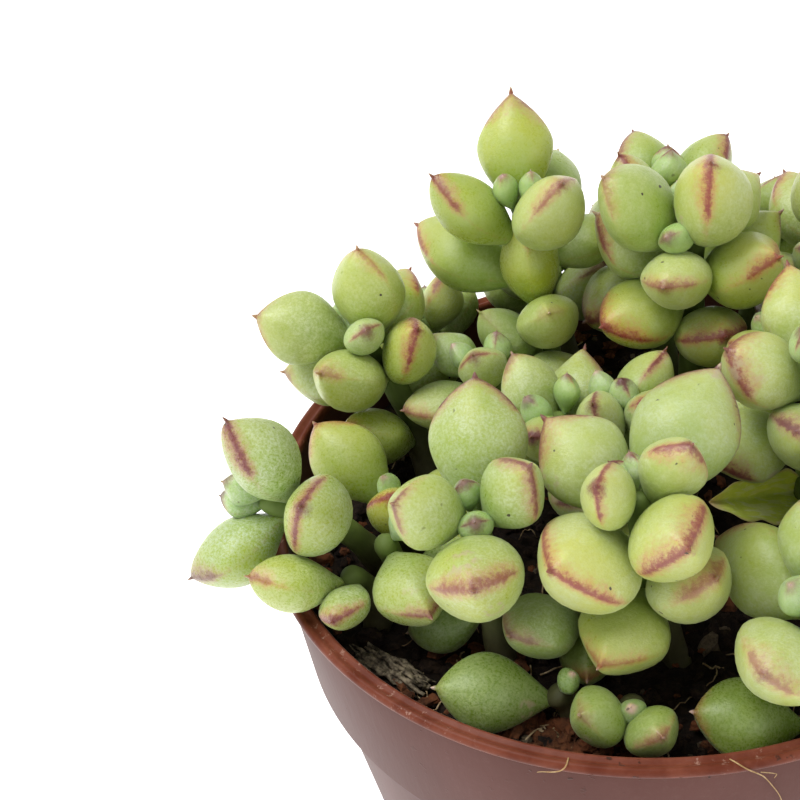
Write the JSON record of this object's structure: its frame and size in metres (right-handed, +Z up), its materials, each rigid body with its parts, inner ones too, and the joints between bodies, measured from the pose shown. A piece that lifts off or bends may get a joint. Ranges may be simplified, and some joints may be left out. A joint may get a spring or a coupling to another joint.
{
  "type": "potted cotyledon",
  "caption": "Small succulent with plump opposite leaves on short branching stems, edged in red, filling a round brown nursery pot of dark potting mix.",
  "frame": {"origin": "middle of the pot's underside", "axes": "+Z up through the pot, -Y towards the front that the picture shows, +X to its right"},
  "size_m": [0.1188, 0.1108, 0.1373],
  "materials": {
    "pot": "injection moulded brown plastic, soft gloss on the lip",
    "soil": "dark crumbly mix of coir, bark and fibre",
    "leaf": "waxy succulent leaf with pale bloom and red edge line"
  },
  "bodies": {
    "root": {"pot": "pot", "soil": "soil", "shoot_back": "leaf", "shoot_back_left": "leaf", "shoot_back_right_tall": "leaf", "shoot_back_rim_left": "leaf", "shoot_back_rim_right": "leaf", "shoot_back_tall": "leaf", "shoot_front": "leaf", "shoot_front_bud": "leaf", "shoot_front_left": "leaf", "shoot_front_low": "leaf", "shoot_front_middle": "leaf", "shoot_front_right": "leaf", "shoot_inner_back_left": "leaf", "shoot_inner_front": "leaf", "shoot_inner_left": "leaf", "shoot_inner_right": "leaf", "shoot_left": "leaf", "shoot_left_back_low": "leaf", "shoot_left_low": "leaf", "shoot_left_middle": "leaf", "shoot_right": "leaf", "shoot_right_back": "leaf", "shoot_right_tall": "leaf", "shoot_rim_front_right": "leaf", "shoot_rim_left": "leaf", "shoot_rim_low": "leaf", "shoot_rim_right_back": "leaf", "shoot_soil_left": "leaf"}
  },
  "joints": []
}
